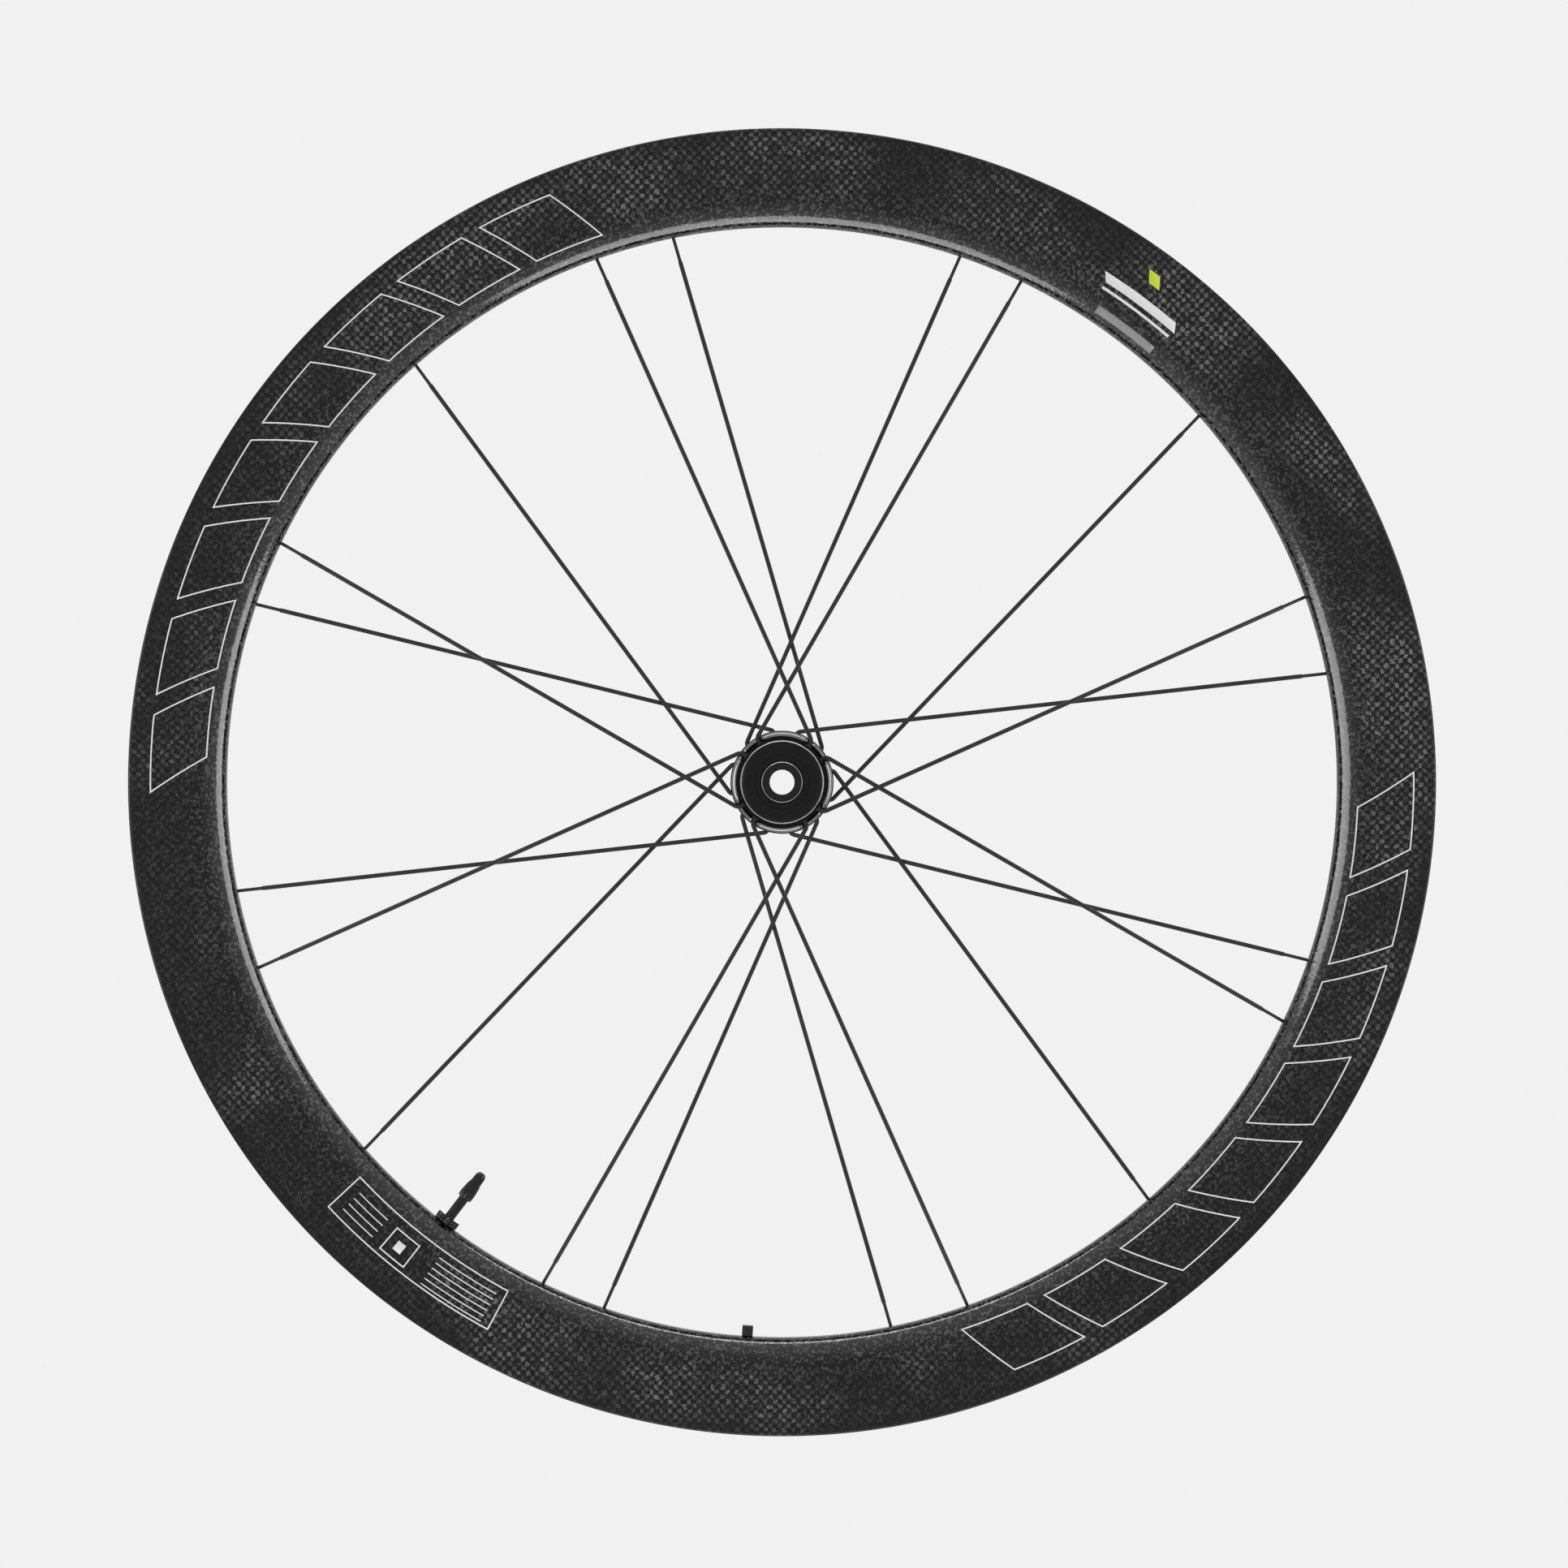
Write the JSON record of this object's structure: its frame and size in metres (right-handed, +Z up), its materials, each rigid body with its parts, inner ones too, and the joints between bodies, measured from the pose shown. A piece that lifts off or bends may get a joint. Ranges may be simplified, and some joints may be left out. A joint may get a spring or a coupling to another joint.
{
  "type": "bicycle wheel",
  "caption": "Front road wheel for a disc brake: deep hollow rim, bladed hooked spokes in slotted hub rings, through-axle hub and valve.",
  "frame": {"origin": "wheel's centre: on the axle line, in the rim's middle plane", "axes": "Y along the axle with the brake rotor's spline at +Y, +Z up with the valve at the lower left seen from -Y, X to the right in that view"},
  "size_m": [0.6339, 0.1, 0.634],
  "materials": {
    "carbon": "satin clear coat over woven fibre",
    "hub_black": "gloss black anodised, bright edges",
    "alloy": "machined",
    "cap_black": "black anodised, bright chamfer",
    "bearing_steel": "ground",
    "spoke_black": "satin black",
    "nipple_alloy": "plain",
    "valve_black": "black anodised",
    "valve_brass": "plain",
    "valve_rubber": "matt",
    "valve_cap_plastic": "matt black",
    "magnet_plastic": "matt black"
  },
  "bodies": {
    "axle": {"axle_tube": "alloy", "end_caps": "cap_black"},
    "wheel": {"rim": "carbon", "hub_shell": "hub_black", "bearings": "bearing_steel", "near_spoke_1": "spoke_black", "near_spoke_2": "spoke_black", "near_spoke_3": "spoke_black", "near_spoke_4": "spoke_black", "near_spoke_5": "spoke_black", "near_spoke_6": "spoke_black", "near_spoke_7": "spoke_black", "near_spoke_8": "spoke_black", "far_spoke_1": "spoke_black", "far_spoke_2": "spoke_black", "far_spoke_3": "spoke_black", "far_spoke_4": "spoke_black", "far_spoke_5": "spoke_black", "far_spoke_6": "spoke_black", "far_spoke_7": "spoke_black", "far_spoke_8": "spoke_black", "far_spoke_9": "spoke_black", "far_spoke_10": "spoke_black", "far_spoke_11": "spoke_black", "far_spoke_12": "spoke_black", "spoke_nipples": "nipple_alloy", "valve_stem": "valve_black", "valve_lock_nut": "valve_black", "valve_core": "valve_brass", "valve_foot": "valve_rubber", "rim_magnet": "magnet_plastic"},
    "cap": {"valve_cap": "valve_cap_plastic"}
  },
  "joints": [
    {"name": "wheel_spin", "type": "hinge", "parent": "axle", "child": "wheel", "pos_m": [0, 0, 0], "axis": [0, 1, 0], "continuous": true},
    {"name": "valve_cap_off", "type": "slide", "parent": "wheel", "child": "cap", "axis": [0.6074, 0, 0.7944], "range_m": [0, 0.016]}
  ]
}
